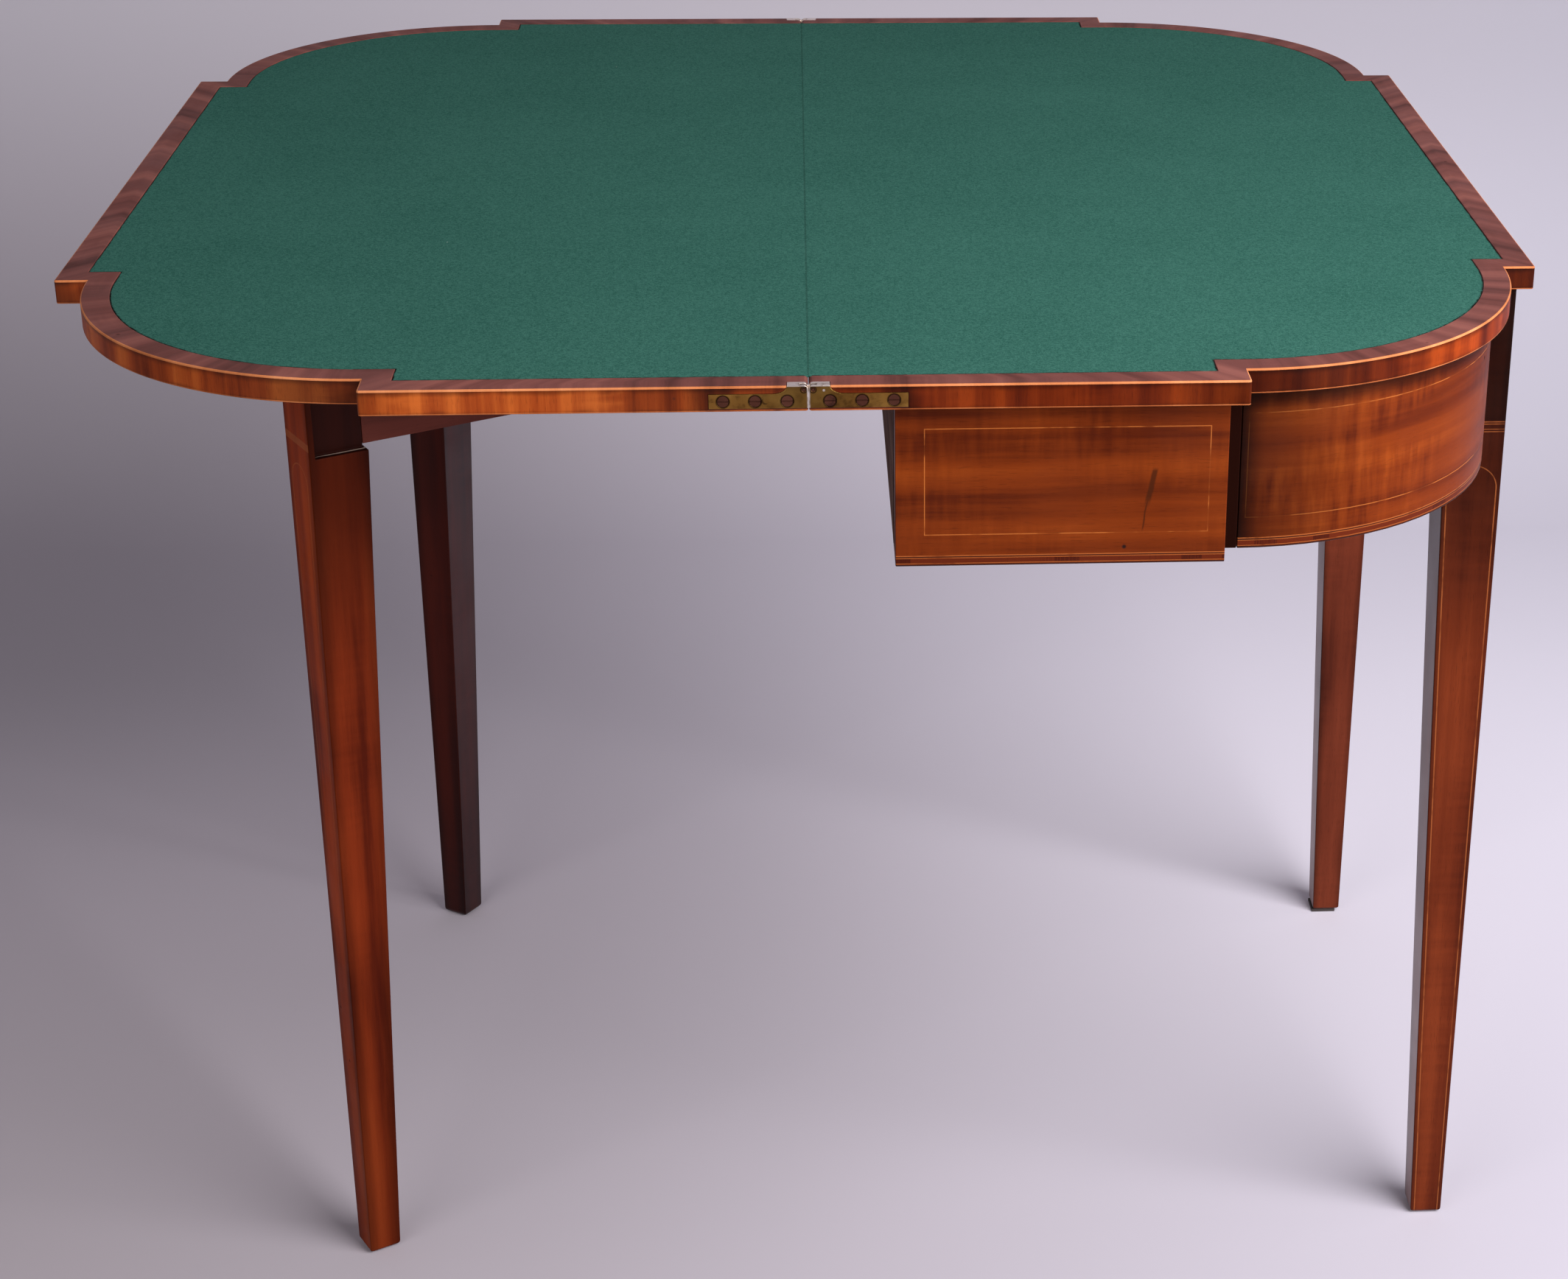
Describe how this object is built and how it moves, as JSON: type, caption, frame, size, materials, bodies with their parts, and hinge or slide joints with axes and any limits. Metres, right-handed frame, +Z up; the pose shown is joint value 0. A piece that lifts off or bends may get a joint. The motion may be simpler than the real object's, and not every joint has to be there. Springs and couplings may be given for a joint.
{
  "type": "card table",
  "caption": "Fold-over card table with a baize playing surface: the folding leaf turns on brass link hinges and rests on swinging gate legs.",
  "frame": {"origin": "on the floor, under the middle of the open top", "axes": "+X from the hinge seam towards the fixed leaf and the front legs, +Y along the hinge seam, +Z up"},
  "size_m": [0.922, 0.93, 0.73],
  "materials": {
    "mahogany": "French-polished red-brown mahogany",
    "carcass_pine": "bare, aged pine",
    "gate_beech": "stained beech, worn",
    "baize": "green wool baize",
    "brass": "dull aged brass",
    "iron": "browned iron",
    "leather": "dark leather"
  },
  "bodies": {
    "carcass": {"back_rail": "carcass_pine", "bearer": "carcass_pine", "corner_rail_far": "mahogany", "corner_rail_near": "mahogany", "end_panel_far": "mahogany", "end_panel_near": "mahogany", "end_rail_far": "carcass_pine", "end_rail_near": "carcass_pine", "fixed_baize": "baize", "fixed_leaf": "mahogany", "foot_pad": "leather", "front_leg_far": "mahogany", "front_leg_near": "mahogany", "front_rail": "mahogany", "gate_pin_far": "iron", "gate_pin_near": "iron", "glue_block_back_far": "carcass_pine", "glue_block_back_near": "carcass_pine", "glue_block_end_far": "carcass_pine", "glue_block_end_near": "carcass_pine", "glue_block_front_far": "carcass_pine", "glue_block_front_near": "carcass_pine", "hinge_plate_fixed_far": "brass", "hinge_plate_fixed_near": "brass", "hinge_rail": "gate_beech", "hinge_screw_fixed_far_1": "iron", "hinge_screw_fixed_far_2": "iron", "hinge_screw_fixed_far_3": "iron", "hinge_screw_fixed_near_1": "iron", "hinge_screw_fixed_near_2": "iron", "hinge_screw_fixed_near_3": "iron", "leaf_screw_1": "iron", "leaf_screw_2": "iron", "leaf_screw_3": "iron", "rail_screw_1": "iron", "rail_screw_2": "iron"},
    "hinge_links": {"hinge_link_far": "brass", "hinge_link_near": "brass", "hinge_pin_fixed_far": "brass", "hinge_pin_fixed_near": "brass", "hinge_pin_folding_far": "brass", "hinge_pin_folding_near": "brass"},
    "folding_top": {"folding_baize": "baize", "folding_leaf": "mahogany", "hinge_plate_folding_far": "brass", "hinge_plate_folding_near": "brass", "hinge_screw_folding_far_1": "iron", "hinge_screw_folding_far_2": "iron", "hinge_screw_folding_far_3": "iron", "hinge_screw_folding_near_1": "iron", "hinge_screw_folding_near_2": "iron", "hinge_screw_folding_near_3": "iron"},
    "gate_near": {"gate_arm_near": "gate_beech", "gate_leg_near": "mahogany"},
    "gate_far": {"gate_arm_far": "gate_beech", "gate_leg_far": "mahogany"}
  },
  "joints": [
    {"name": "link_swing", "type": "hinge", "parent": "carcass", "child": "hinge_links", "pos_m": [0.0026, 0, 0.72755], "axis": [0, 1, 0], "range_deg": [0, 90]},
    {"name": "leaf_fold", "type": "hinge", "parent": "hinge_links", "child": "folding_top", "pos_m": [-0.0026, 0, 0.72755], "axis": [0, 1, 0], "range_deg": [0, 90]},
    {"name": "gate_near_swing", "type": "hinge", "parent": "carcass", "child": "gate_near", "pos_m": [0.0373, -0.047, 0.616], "axis": [0, 0, 1], "range_deg": [-29.5, 60.5]},
    {"name": "gate_far_swing", "type": "hinge", "parent": "carcass", "child": "gate_far", "pos_m": [0.0373, 0.047, 0.616], "axis": [0, 0, 1], "range_deg": [-57, 33]}
  ]
}
